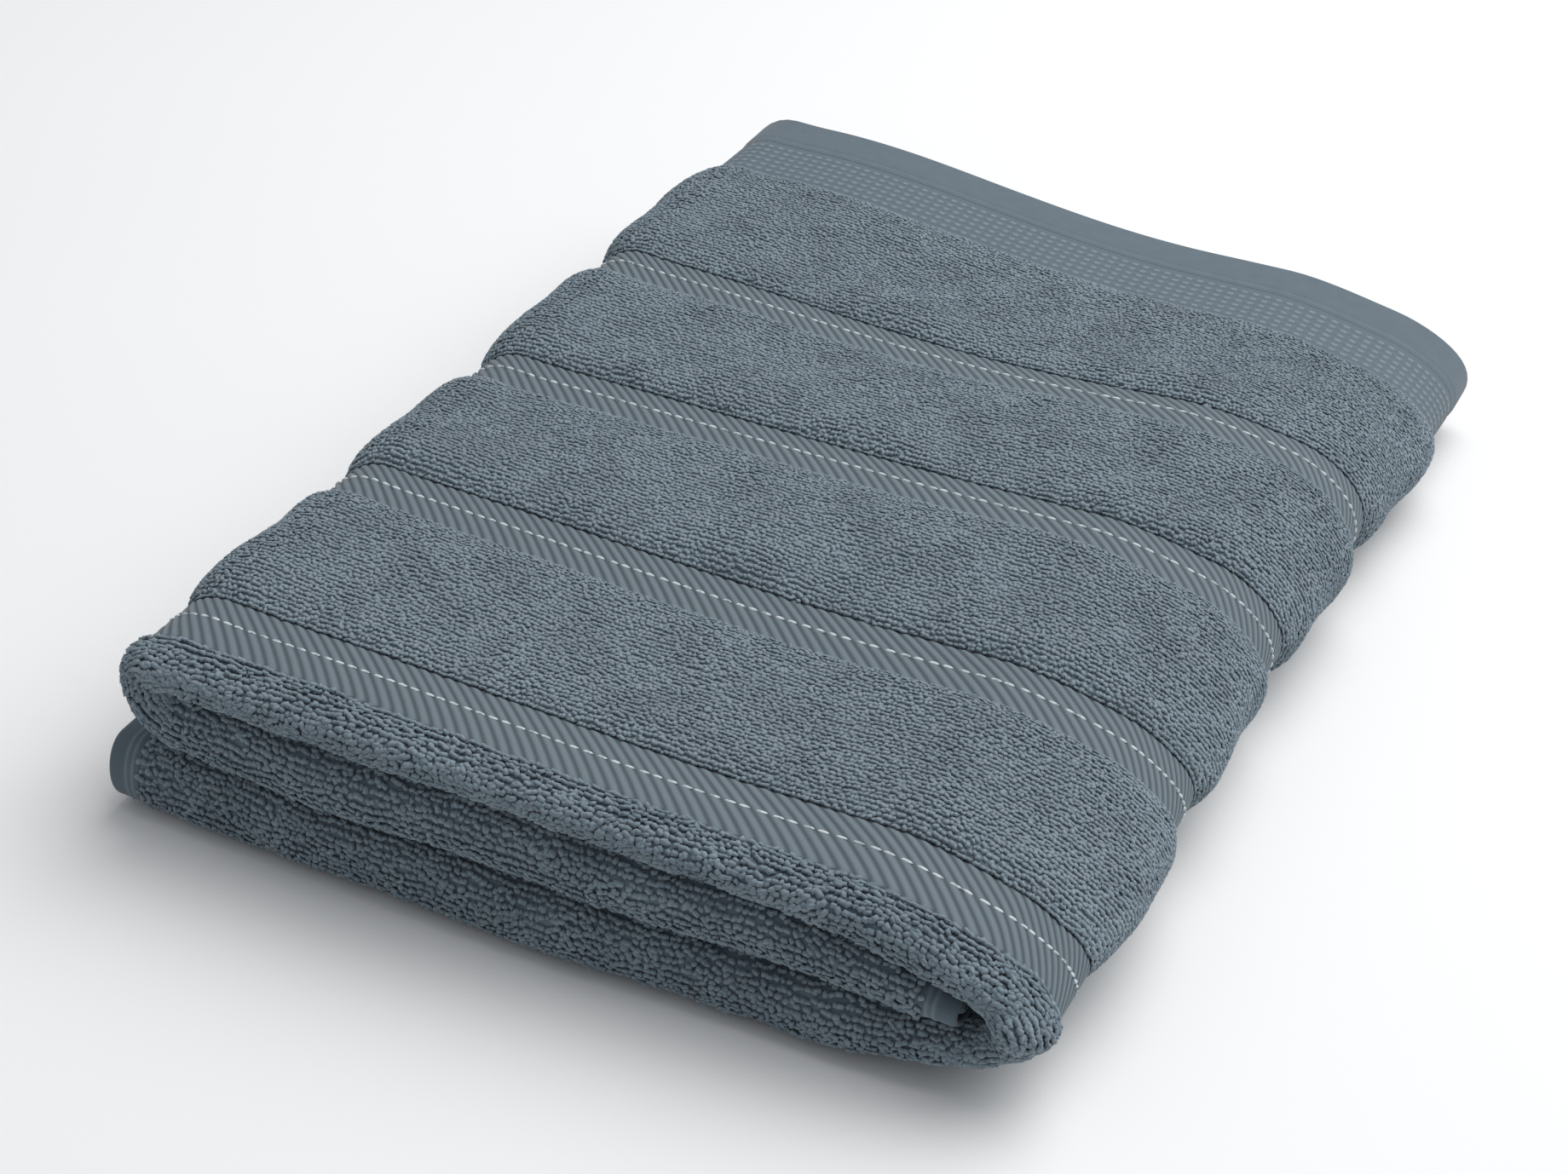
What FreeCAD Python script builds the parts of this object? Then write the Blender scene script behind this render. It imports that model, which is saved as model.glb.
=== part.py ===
"""A bath towel folded into a flat pack: doubled twice along its length, then folded in thirds.

Frame: millimetres, +Z up. X runs along the pack's short front edge, Y from the folded front
towards the hemmed back edge. The origin is the centre of the pack's footprint, on the surface
that it lies on.

Cloth coordinates: a point of the pack is found from its depth y and from s, its distance
inwards from the outer face of the doubled cloth. The lower third and the tucked third lie with
the outer face down, and the top third lies with the outer face up.
"""

import FreeCAD, Part

import math
import os

from FreeCAD import Vector

# ---------------------------------------------------------------- the cloth, laid flat
TOWEL_WIDTH = 700.0
TOWEL_LENGTH = 1400.0
TERRY_THICKNESS = 4.1
HEM_INSET = 0.5
SIDE_HEM_WIDTH = 9.0
HEADER_HEM_LENGTH = 18.0

# ---------------------------------------------------------------- woven decoration at each end
BORDER_LENGTH = 24.0
BAND_COUNT = 4
BAND_WIDTH = 20.0
FIRST_FIELD_LENGTH = 65.0
RECESS_DEPTH = 1.5
WEAVE_THICKNESS = 0.9
THREAD_WIDTH = 1.2
THREAD_HEIGHT = 0.3
THREAD_INSET = 8.4

# ---------------------------------------------------------------- how it is folded
LAYER_GAP = 0.1
THIRD_GAP = 0.3
JOINT_GAP = 0.3
TURN_CLEARANCE = 1.1
TUCK_CLEARANCE = 1.0
FREE_EDGE_OVERHANG = 5.0
INNER_END_SETBACK = 3.0
BACK_FOLD_SETBACK = 2.0

# ---------------------------------------------------------------- sizes that follow
HALF_TURN = 180.0
PAD_THICKNESS = 4 * TERRY_THICKNESS + 3 * LAYER_GAP
PACK_HEIGHT = 3 * PAD_THICKNESS + 2 * THIRD_GAP

FRONT_RADIUS = PAD_THICKNESS / 2
TIGHT_RADIUS = TERRY_THICKNESS + LAYER_GAP / 2
RIGHT_RADIUS = PACK_HEIGHT / 2
LEFT_RADIUS = PAD_THICKNESS + THIRD_GAP / 2


def pack_depth():
    """Depth of the pack that uses up the towel's whole length in its four layers."""
    front_turn = math.pi * (FRONT_RADIUS - TERRY_THICKNESS / 2)
    tight_turns = 2 * math.pi * (TIGHT_RADIUS - TERRY_THICKNESS / 2)
    set_back = 4 * FRONT_RADIUS + 2 * (BACK_FOLD_SETBACK + TIGHT_RADIUS) + INNER_END_SETBACK
    return (TOWEL_LENGTH - front_turn - tight_turns + set_back) / 4


def straight_span():
    """Distance between the two side folds' centres that uses up the towel's whole width."""
    right_turn = math.pi * (RIGHT_RADIUS - PAD_THICKNESS / 2)
    left_turn = math.pi * (LEFT_RADIUS - PAD_THICKNESS / 2)
    ends = LEFT_RADIUS + FREE_EDGE_OVERHANG - TUCK_CLEARANCE
    return (TOWEL_WIDTH - right_turn - left_turn - ends) / 3


DEPTH = pack_depth()
SPAN = straight_span()
FOOTPRINT = FREE_EDGE_OVERHANG + LEFT_RADIUS + SPAN + RIGHT_RADIUS

Y_FRONT = -DEPTH / 2
Y_BACK = DEPTH / 2
Y_FRONT_TURN = Y_FRONT + FRONT_RADIUS
Y_INNER_END = Y_BACK - INNER_END_SETBACK
Y_BACK_TURN = Y_BACK - BACK_FOLD_SETBACK - TIGHT_RADIUS

X_FREE_EDGE = -FOOTPRINT / 2
X_LOWER_TERRY = X_FREE_EDGE + SIDE_HEM_WIDTH
X_LEFT = X_FREE_EDGE + FREE_EDGE_OVERHANG + LEFT_RADIUS
X_RIGHT = X_LEFT + SPAN
X_TUCKED_EDGE = X_RIGHT - TUCK_CLEARANCE
X_TUCKED_TERRY = X_TUCKED_EDGE - SIDE_HEM_WIDTH

# Depths inside the pad of each layer's two faces, counted from the outer face.
INNER_LAYER_TOP = TERRY_THICKNESS + LAYER_GAP
INNER_LAYER_FACE = INNER_LAYER_TOP + TERRY_THICKNESS
THIRD_LAYER_TOP = INNER_LAYER_FACE + LAYER_GAP
THIRD_LAYER_BASE = THIRD_LAYER_TOP + TERRY_THICKNESS
LAST_LAYER_TOP = THIRD_LAYER_BASE + LAYER_GAP


class Outline:
    """A closed outline in cloth coordinates (y, s), made of lines and arcs."""

    def __init__(self, y, s):
        self.start = (y, s)
        self.steps = []

    def line(self, y, s):
        self.steps.append((None, (y, s)))
        return self

    def lines(self, points):
        for point in points:
            self.line(*point)
        return self

    def arc(self, through, end):
        self.steps.append((through, end))
        return self

    def face(self, x, outer_face_z, inwards):
        """Face in the plane at x, with s counted from outer_face_z along inwards, +1 or -1."""

        def place(point):
            return Vector(x, point[0], outer_face_z + inwards * point[1])

        edges = []
        here = self.start
        for through, end in self.steps + [(None, self.start)]:
            if through is None:
                edges.append(Part.LineSegment(place(here), place(end)).toShape())
            else:
                edges.append(Part.Arc(place(here), place(through), place(end)).toShape())
            here = end
        return Part.Face(Part.Wire(edges))


def rectangle(y_low, y_high, s_low, s_high):
    """Outline of a strip between two depths in the pack and two depths in the pad."""
    return Outline(y_low, s_low).line(y_high, s_low).line(y_high, s_high).line(y_low, s_high)


def field_length():
    """Length of terry between two bands, which brings the last band up to the front turn.

    It is set on the inner end, whose bands lie closer to the turn than the outer end's.
    """
    first_band_back = Y_INNER_END - HEADER_HEM_LENGTH - BORDER_LENGTH - FIRST_FIELD_LENGTH
    last_band_front = Y_FRONT_TURN + TURN_CLEARANCE
    return (first_band_back - last_band_front - BAND_COUNT * BAND_WIDTH) / (BAND_COUNT - 1)


def woven_zones(y_end):
    """Name, back edge and front edge of each flat-woven zone, counted from one end's edge."""
    back = y_end - HEADER_HEM_LENGTH
    front = back - BORDER_LENGTH
    zones = [("border", back, front)]
    back = front - FIRST_FIELD_LENGTH
    for number in range(BAND_COUNT):
        zones.append((f"band_{number + 1}", back, back - BAND_WIDTH))
        back -= BAND_WIDTH + field_length()
    return zones


def dipped_face(zones, face_s, floor_s):
    """Points from back to front along a face of terry that dips to floor_s in every zone."""
    points = []
    for name, back, front in zones:
        if name != "border":
            points.append((back, face_s))
        points += [(back, floor_s), (front, floor_s), (front, face_s)]
    return points


def folded_strip(outer_points, inner_points, inset):
    """Outline of a strip through all four layers, held inset from the terry's own faces.

    outer_points run along the outer face from the outer end to the front turn, and inner_points
    along the inner layer's face from the front turn to the inner end.
    """
    middle = FRONT_RADIUS
    back_middle = PAD_THICKNESS - TIGHT_RADIUS
    half_gap = LAYER_GAP / 2
    y_outer_end = outer_points[0][0]
    y_inner_end = inner_points[-1][0]
    outline = Outline(*outer_points[0])
    outline.lines(outer_points[1:])
    outline.line(Y_FRONT_TURN, inset)
    outline.arc((Y_FRONT + inset, middle), (Y_FRONT_TURN, PAD_THICKNESS - inset))
    outline.line(Y_BACK_TURN, PAD_THICKNESS - inset)
    outline.arc(
        (Y_BACK_TURN + TIGHT_RADIUS - inset, back_middle),
        (Y_BACK_TURN, THIRD_LAYER_TOP + inset),
    )
    outline.line(Y_FRONT_TURN, THIRD_LAYER_TOP + inset)
    outline.arc(
        (Y_FRONT_TURN - half_gap - inset, middle),
        (Y_FRONT_TURN, INNER_LAYER_FACE - inset),
    )
    outline.lines(inner_points)
    outline.line(y_inner_end, INNER_LAYER_TOP + inset)
    outline.line(Y_FRONT_TURN, INNER_LAYER_TOP + inset)
    outline.arc(
        (Y_FRONT_TURN - TIGHT_RADIUS + inset, middle),
        (Y_FRONT_TURN, THIRD_LAYER_BASE - inset),
    )
    outline.line(Y_BACK_TURN, THIRD_LAYER_BASE - inset)
    outline.arc(
        (Y_BACK_TURN + half_gap + inset, back_middle),
        (Y_BACK_TURN, LAST_LAYER_TOP + inset),
    )
    outline.line(Y_FRONT_TURN, LAST_LAYER_TOP + inset)
    outline.arc(
        (Y_FRONT + TERRY_THICKNESS - inset, middle),
        (Y_FRONT_TURN, TERRY_THICKNESS - inset),
    )
    outline.line(y_outer_end, TERRY_THICKNESS - inset)
    return outline


def terry_outline():
    """The terry, with a recess for every woven zone on the face that carries the decoration."""
    inner_floor = INNER_LAYER_FACE - RECESS_DEPTH
    outer_points = dipped_face(woven_zones(Y_BACK), 0, RECESS_DEPTH)
    inner_points = dipped_face(woven_zones(Y_INNER_END), INNER_LAYER_FACE, inner_floor)
    return folded_strip(outer_points, inner_points[::-1], 0)


def side_hem_outline():
    """A side hem, which is thinner than the terry and runs on to the edges of both ends."""
    outer_points = [(Y_BACK, HEM_INSET)]
    inner_points = [(Y_INNER_END, INNER_LAYER_FACE - HEM_INSET)]
    return folded_strip(outer_points, inner_points, HEM_INSET)


def strips():
    """Name and outline of every woven strip and header hem that runs across the towel."""
    found = {}
    weave_top = RECESS_DEPTH - WEAVE_THICKNESS
    for name, back, front in woven_zones(Y_BACK):
        found[f"outer_{name}"] = rectangle(front, back, weave_top, RECESS_DEPTH)
        if name != "border":
            thread_back = back - THREAD_INSET
            found[f"outer_{name}_thread"] = rectangle(
                thread_back - THREAD_WIDTH, thread_back, weave_top - THREAD_HEIGHT, weave_top
            )
    found["outer_header_hem"] = rectangle(
        Y_BACK - HEADER_HEM_LENGTH, Y_BACK, HEM_INSET, TERRY_THICKNESS - HEM_INSET
    )
    floor = INNER_LAYER_FACE - RECESS_DEPTH
    for name, back, front in woven_zones(Y_INNER_END):
        found[f"inner_{name}"] = rectangle(front, back, floor, floor + WEAVE_THICKNESS)
    found["inner_header_hem"] = rectangle(
        Y_INNER_END - HEADER_HEM_LENGTH,
        Y_INNER_END,
        INNER_LAYER_TOP + HEM_INSET,
        INNER_LAYER_FACE - HEM_INSET,
    )
    return found


def lower_third(outline):
    """The third that lies on the surface, outer face down."""
    return outline.face(X_LOWER_TERRY, 0, 1).extrude(Vector(X_RIGHT - X_LOWER_TERRY, 0, 0))


def right_turn(outline):
    """The wide turn at the right, from the lower third round to the top third."""
    axis_point = Vector(X_RIGHT, 0, RIGHT_RADIUS)
    return outline.face(X_RIGHT, 0, 1).revolve(axis_point, Vector(0, -1, 0), HALF_TURN)


def upper_fold(outline):
    """The top third, the turn at the left and the third tucked under it, as one piece."""
    top_face = outline.face(X_LEFT, PACK_HEIGHT, -1)
    top = top_face.extrude(Vector(X_RIGHT - JOINT_GAP - X_LEFT, 0, 0))
    axis_point = Vector(X_LEFT, 0, PACK_HEIGHT - LEFT_RADIUS)
    turn = top_face.revolve(axis_point, Vector(0, -1, 0), HALF_TURN)
    tucked_face = outline.face(X_LEFT, PAD_THICKNESS + THIRD_GAP, 1)
    tucked = tucked_face.extrude(Vector(X_TUCKED_TERRY - X_LEFT, 0, 0))
    return top.fuse([turn, tucked]).removeSplitter()


def side_hems():
    """The hem along the lower third's free edge, and the one along the tucked third's edge."""
    width = Vector(SIDE_HEM_WIDTH, 0, 0)
    outline = side_hem_outline()
    tucked_z = PAD_THICKNESS + THIRD_GAP
    return {
        "side_hem_lower": outline.face(X_FREE_EDGE, 0, 1).extrude(width),
        "side_hem_tucked": outline.face(X_TUCKED_TERRY, tucked_z, 1).extrude(width),
    }


def build():
    """All the pieces, by node name."""
    outlines = {"terry": terry_outline(), **strips()}
    pieces = side_hems()
    for name, outline in outlines.items():
        pieces[f"{name}_lower"] = lower_third(outline)
        pieces[f"{name}_right_turn"] = right_turn(outline)
        pieces[f"{name}_upper"] = upper_fold(outline)
    return pieces


def export(pieces):
    """Write each piece to its own file, as one solid."""
    os.makedirs("parts", exist_ok=True)
    for name, shape in pieces.items():
        solid = shape.Solids[0]
        if len(shape.Solids) != 1 or not solid.isValid():
            raise ValueError(f"{name} is not one valid solid")
        solid.exportStep(f"parts/{name}.step")


def report(pieces):
    """Print the sizes that a reader needs to place things on the pack."""
    print(f"footprint {FOOTPRINT:.2f} x {DEPTH:.2f}, height {PACK_HEIGHT:.2f}")
    print(f"pad {PAD_THICKNESS:.2f}, left centre {X_LEFT:.2f}, right centre {X_RIGHT:.2f}")
    print(f"band pitch {BAND_WIDTH + field_length():.2f}")
    print(f"hinge axis x {X_RIGHT + RIGHT_RADIUS - PAD_THICKNESS / 2:.2f}, z {RIGHT_RADIUS:.2f}")
    print(f"pieces {len(pieces)}, cloth volume {sum(p.Volume for p in pieces.values()):.0f}")


parts = build()
export(parts)
report(parts)
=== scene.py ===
"""A bath towel folded into a flat pack: terry pile, woven bands, borders, hems and thread.

Cloth coordinates: every point of the towel is found from e, q and h, in metres. e runs across
the towel's width, measured on the pack's outer face, from the lower third's free edge round the
wide fold, over the top, round the narrow fold and along the tucked third. q runs along the
towel's length on the middle of the cloth, from the terry's outer end forward, round the front,
and through the other three layers to its inner end. h is the height above the middle of the
cloth, towards the face that carries the decoration.
"""

import logging
import math
from dataclasses import dataclass, field
from enum import Enum

import bpy
import numpy as np
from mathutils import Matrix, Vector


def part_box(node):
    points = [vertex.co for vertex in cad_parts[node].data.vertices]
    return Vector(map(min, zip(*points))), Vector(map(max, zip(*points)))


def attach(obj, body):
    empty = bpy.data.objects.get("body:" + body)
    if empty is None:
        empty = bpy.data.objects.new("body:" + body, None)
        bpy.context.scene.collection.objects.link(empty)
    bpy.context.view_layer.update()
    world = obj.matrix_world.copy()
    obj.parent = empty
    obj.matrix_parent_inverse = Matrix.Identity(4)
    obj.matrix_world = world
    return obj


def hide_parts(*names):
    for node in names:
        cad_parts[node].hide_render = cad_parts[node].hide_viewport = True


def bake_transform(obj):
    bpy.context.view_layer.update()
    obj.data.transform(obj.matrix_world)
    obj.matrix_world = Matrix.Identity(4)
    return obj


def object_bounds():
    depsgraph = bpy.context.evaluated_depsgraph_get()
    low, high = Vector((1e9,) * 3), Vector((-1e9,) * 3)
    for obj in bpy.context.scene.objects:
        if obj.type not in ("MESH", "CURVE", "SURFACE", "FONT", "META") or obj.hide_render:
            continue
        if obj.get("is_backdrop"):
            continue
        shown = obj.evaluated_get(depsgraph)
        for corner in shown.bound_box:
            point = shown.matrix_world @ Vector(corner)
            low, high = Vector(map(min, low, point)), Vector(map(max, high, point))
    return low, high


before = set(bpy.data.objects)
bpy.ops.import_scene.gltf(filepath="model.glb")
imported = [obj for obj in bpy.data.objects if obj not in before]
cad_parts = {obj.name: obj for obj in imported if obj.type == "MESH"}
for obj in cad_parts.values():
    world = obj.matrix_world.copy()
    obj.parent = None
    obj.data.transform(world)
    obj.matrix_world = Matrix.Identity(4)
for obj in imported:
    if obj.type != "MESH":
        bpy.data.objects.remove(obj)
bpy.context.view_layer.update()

LOG = logging.getLogger("towel")
MM = 0.001
BANDS = range(1, 5)
BUMP_DEPTH = 0.2 * MM
Array = np.ndarray
Stretch = tuple[float, float]


class Segment(Enum):
    """The three stretches of the folded width, which the hinge treats in different ways."""

    LOWER = "lower"
    RIGHT_TURN = "right_turn"
    UPPER = "upper"


class LoopStyle(Enum):
    """How finely one loop of the pile is made."""

    FULL = "full"
    LOW = "low"


# ------------------------------------------------------------------ small helpers


def smooth(value: Array) -> Array:
    """Smoothstep of a value clipped to 0 and 1."""
    t = np.clip(value, 0.0, 1.0)
    return t * t * (3.0 - 2.0 * t)


def ramp(value: Array, stretch: Stretch) -> Array:
    """Smoothstep that starts at the stretch's first number and grows over its second."""
    start, length = stretch
    return smooth((value - start) / length)


def steps_between(start: float, end: float, step: float) -> Array:
    """Evenly spaced values from start to end, about step apart."""
    return np.linspace(start, end, max(2, int(round(abs(end - start) / step)) + 1))


def stretches(marks: tuple[float, ...], steps_mm: tuple[float, ...]) -> list[Array]:
    """Evenly spaced values from each mark to the next, about that stretch's own step apart."""
    return [steps_between(a, b, step * MM) for a, b, step in zip(marks, marks[1:], steps_mm)]


@dataclass(frozen=True)
class Ripple:
    """A smooth, repeatable unevenness: a sum of sine waves in seeded directions.

    The value is the sum of sin(k.p + phase), scaled to stay near -1 to 1.
    """

    length: float
    seed: int
    waves: int = 7

    def at(self, *coordinates: Array) -> Array:
        """Value at points given by their coordinates.

        Args:
            coordinates: one array for each axis, which broadcast together.

        Returns:
            The unevenness, about -1 to 1.
        """
        draw = np.random.default_rng(self.seed)
        directions = draw.normal(size=(self.waves, len(coordinates)))
        directions /= np.linalg.norm(directions, axis=1, keepdims=True)
        rates = 2.0 * math.pi / (self.length * draw.uniform(0.7, 1.5, self.waves))
        phases = draw.uniform(0.0, 2.0 * math.pi, self.waves)
        total = 0.0
        for direction, rate, phase in zip(directions, rates, phases):
            along = sum(d * c for d, c in zip(direction, coordinates))
            total = total + np.sin(along * rate + phase)
        return total / math.sqrt(self.waves)


# ------------------------------------------------------------------ the fold


@dataclass(frozen=True)
class Settle:
    """How the stack gives under its own weight, as a smooth shift that keeps layers in order.

    A length is the most that an effect moves the cloth. A pair tells where the effect starts
    and over how much it grows, as shares of the pack's width, from the narrow fold.
    """

    sag: float = 1.6 * MM
    sag_zone: Stretch = (0.05, 0.35)
    left_rise: float = 1.4 * MM
    left_rise_width: float = 0.12
    front_sag: float = 4.6 * MM
    front_sag_zone: Stretch = (0.2, 0.6)
    right_droop: float = 7.5 * MM
    front_droop: float = 5.0 * MM
    droop_zone: Stretch = (0.76, 0.22)
    far_droop: float = 9.5 * MM
    far_skew: float = 3.0 * MM
    far_zone: Stretch = (0.12, 0.55)
    far_depth: Stretch = (0.15, 0.8)
    far_reach: float = 3.0 * MM
    far_reach_zone: Stretch = (0.8, 0.2)
    right_lift: float = 11.0 * MM
    lift_zone: Stretch = (0.72, 0.28)
    puff: float = 6.5 * MM
    puff_end: float = 0.9
    puff_fade: float = 0.25
    reach: float = 6.0 * MM
    reach_zone: Stretch = (0.58, 0.3)
    reach_end_zone: Stretch = (0.88, 0.12)
    wander: float = 1.3 * MM
    edge_wander: float = 0.8 * MM
    undulation: float = 1.0 * MM
    front_depth: float = 0.03

    def move(self, points: Array, pack: "Pack") -> Array:
        """Shift points: height falls by share x drop, and rises by (1 - share) x lift.

        Share is the height over the pack's height. In front the middle third puffs up: the
        rise is puff at two thirds of the height, and falls to nothing at the floor and at the
        top. Near the wide fold everything slides towards it by up to reach, and its outer face
        stays.

        Args:
            points: positions with x, y and z in the last axis.
            pack: the pack's sizes.

        Returns:
            The shifted positions.
        """
        x, y, z = points[..., 0], points[..., 1], points[..., 2]
        share = z / pack.height
        across = (x - pack.left_extreme) / (pack.right_extreme - pack.left_extreme)
        nearness = smooth((pack.back_turn - y) / (pack.back_turn - pack.front_turn))
        far_start, far_length = self.far_depth
        farness = smooth((y - far_start * pack.back_turn) / (far_length * pack.back_turn))
        far_right = farness * ramp(across, self.far_zone)
        fall = self.sag * ramp(across, self.sag_zone)
        fall = fall - self.left_rise * smooth(1.0 - across / self.left_rise_width)
        fall = fall + self.front_sag * nearness ** 4 * ramp(across, self.front_sag_zone)
        droop = self.right_droop + self.front_droop * nearness ** 2
        fall = fall + droop * ramp(across, self.droop_zone)
        fall = fall + self.far_droop * far_right
        fall = fall + self.undulation * Ripple(0.13, 5).at(x, y)
        lift = self.right_lift * ramp(across, self.lift_zone) * nearness
        shift_y = self.wander * Ripple(0.21, 9).at(x, z) - self.far_skew * far_right
        front = smooth((pack.front_turn - y) / self.front_depth + 1.0)
        shift_y = shift_y + self.edge_wander * front * Ripple(0.06, 12).at(x, z * 2.0)
        shift_x = self.edge_wander * Ripple(0.09, 21).at(y, z)
        shift_x = shift_x + self.far_reach * farness * ramp(across, self.far_reach_zone)
        slide = ramp(across, self.reach_zone) * (1.0 - ramp(across, self.reach_end_zone))
        shift_x = shift_x + self.reach * slide * (0.3 + 0.7 * nearness)
        profile = np.where(share < 2.0 / 3.0, smooth(1.5 * share), 3.0 * (1.0 - share))
        fade = smooth((self.puff_end - across) / self.puff_fade)
        puffed = self.puff * profile * nearness ** 6 * fade
        height = z - share * fall + (1.0 - share) * lift + puffed
        return np.stack([x + shift_x, y + shift_y, height], axis=-1)


@dataclass(frozen=True)
class Pack:
    """The folded pack's sizes, and the way from cloth coordinates to a place."""

    free_edge: float
    left: float
    right: float
    tucked_edge: float
    height: float
    pad: float
    tucked_base: float
    cloth: float
    gap: float
    outer_end: float
    inner_end: float
    front_turn: float
    back_turn: float
    side_hem: float
    settle: Settle = field(default_factory=Settle)
    swell_in: Stretch = (4.0 * MM, 26.0 * MM)
    swell_out: Stretch = (6.0 * MM, 18.0 * MM)

    @classmethod
    def from_frame(cls) -> "Pack":
        """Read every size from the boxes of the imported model's nodes.

        Returns:
            The pack's sizes.
        """
        lower_lo, lower_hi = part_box("terry_lower")
        upper_lo, upper_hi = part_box("terry_upper")
        header_lo, header_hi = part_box("outer_header_hem_lower")
        inner_lo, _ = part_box("inner_header_hem_lower")
        cloth = header_lo.z + header_hi.z
        gap = (lower_hi.z - 4.0 * cloth) / 3.0
        left_radius = (upper_hi.z - upper_lo.z) / 2.0
        free_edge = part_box("side_hem_lower")[0].x
        return cls(
            free_edge=free_edge,
            left=upper_lo.x + left_radius,
            right=lower_hi.x,
            tucked_edge=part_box("side_hem_tucked")[1].x,
            height=upper_hi.z,
            pad=lower_hi.z,
            tucked_base=upper_lo.z,
            cloth=cloth,
            gap=gap,
            outer_end=header_lo.y,
            inner_end=inner_lo.y,
            front_turn=lower_lo.y + lower_hi.z / 2.0,
            back_turn=lower_hi.y - cloth - gap / 2.0,
            side_hem=lower_lo.x - free_edge,
        )

    @property
    def right_radius(self) -> float:
        """Radius of the wide fold's outer face."""
        return self.height / 2.0

    @property
    def left_radius(self) -> float:
        """Radius of the narrow fold's outer face."""
        return (self.height - self.tucked_base) / 2.0

    @property
    def left_extreme(self) -> float:
        """Where the narrow fold reaches furthest."""
        return self.left - self.left_radius

    @property
    def right_extreme(self) -> float:
        """Where the wide fold reaches furthest."""
        return self.right + self.right_radius

    @property
    def e_marks(self) -> tuple[float, float, float, float, float]:
        """e at the end of the lower third, wide fold, top, narrow fold and tucked third.

        Returns:
            The five values of e, rising.
        """
        lower = self.right - self.free_edge
        turn = lower + math.pi * self.right_radius
        top = turn + self.right - self.left
        left_turn = top + math.pi * self.left_radius
        return lower, turn, top, left_turn, left_turn + self.tucked_edge - self.left

    def span(self, segment: Segment) -> tuple[float, float]:
        """First and last e of a segment.

        Args:
            segment: which stretch of the width.

        Returns:
            Its first and last e.
        """
        lower, turn, _, _, end = self.e_marks
        ends = {
            Segment.LOWER: (0.0, lower),
            Segment.RIGHT_TURN: (lower, turn),
            Segment.UPPER: (turn, end),
        }
        return ends[segment]

    def inner_span(self, segment: Segment) -> tuple[float, float]:
        """First and last e of a segment, inside the side hems.

        Args:
            segment: which stretch of the width.

        Returns:
            Its first and last e, without the hem's width.
        """
        start, end = self.span(segment)
        start = start + (self.side_hem if segment is Segment.LOWER else 0.0)
        return start, end - (self.side_hem if segment is Segment.UPPER else 0.0)

    def cut_width(self, start: float, end: float) -> float:
        """Width of flat cloth between two values of e, measured in the middle of the pad.

        Args:
            start: first e.
            end: last e.

        Returns:
            The flat width, in metres.
        """
        outer = (0.0, *self.e_marks)
        half = self.pad / 2.0
        shares = (1.0, 1.0 - half / self.right_radius, 1.0, 1.0 - half / self.left_radius, 1.0)
        return sum(
            share * max(0.0, min(last, end) - max(first, start))
            for first, last, share in zip(outer, outer[1:], shares)
        )

    @property
    def q_marks(self) -> tuple[float, ...]:
        """q at the end of each stretch of the cloth's way through its four layers.

        Returns:
            The seven values of q, rising.
        """
        outer = self.outer_end - self.front_turn
        front = outer + math.pi * (self.pad / 2.0 - self.cloth / 2.0)
        run = self.back_turn - self.front_turn
        tight = math.pi * (self.cloth + self.gap) / 2.0
        last = front + run
        back = last + tight
        third = back + run
        inner_turn = third + tight
        return (
            outer, front, last, back, third, inner_turn,
            inner_turn + self.inner_end - self.front_turn,
        )

    def section(self, q: Array) -> tuple[Array, Array, Array, Array]:
        """Depth y and distance s from the outer face, with the decorated face's direction.

        Straight layers move along y at a constant s. A turn of radius r about (yc, sc) is
        y = yc -/+ r sin(a), s = sc -/+ r cos(a), with a = distance / r.

        Args:
            q: distance along the cloth.

        Returns:
            y, s and the two parts of the unit vector towards the decorated face.
        """
        outer, front, last, back, third, inner_turn, _ = self.q_marks
        half = self.cloth / 2.0
        big = self.pad / 2.0 - half
        tight = (self.cloth + self.gap) / 2.0
        middle = self.pad / 2.0
        back_middle = self.pad - self.cloth - self.gap / 2.0
        a_front = (q - outer) / big
        a_back = (q - last) / tight
        a_inner = (q - third) / tight
        zones = [q < outer, q < front, q < last, q < back, q < third, q < inner_turn]
        one = np.ones_like(q)
        y = np.select(zones, [
            self.outer_end - q,
            self.front_turn - big * np.sin(a_front),
            self.front_turn + (q - front),
            self.back_turn + tight * np.sin(a_back),
            self.back_turn - (q - back),
            self.front_turn - tight * np.sin(a_inner),
        ], self.front_turn + (q - inner_turn))
        s = np.select(zones, [
            half * one,
            middle - big * np.cos(a_front),
            (self.pad - half) * one,
            back_middle + tight * np.cos(a_back),
            (back_middle - tight) * one,
            middle + tight * np.cos(a_inner),
        ], (middle - tight) * one)
        ny = np.select(zones, [
            0.0 * one, -np.sin(a_front), 0.0 * one, np.sin(a_back), 0.0 * one, np.sin(a_inner),
        ], 0.0 * one)
        ns = np.select(zones, [
            -one, -np.cos(a_front), one, np.cos(a_back), -one, -np.cos(a_inner),
        ], one)
        return y, s, ny, ns

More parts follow.
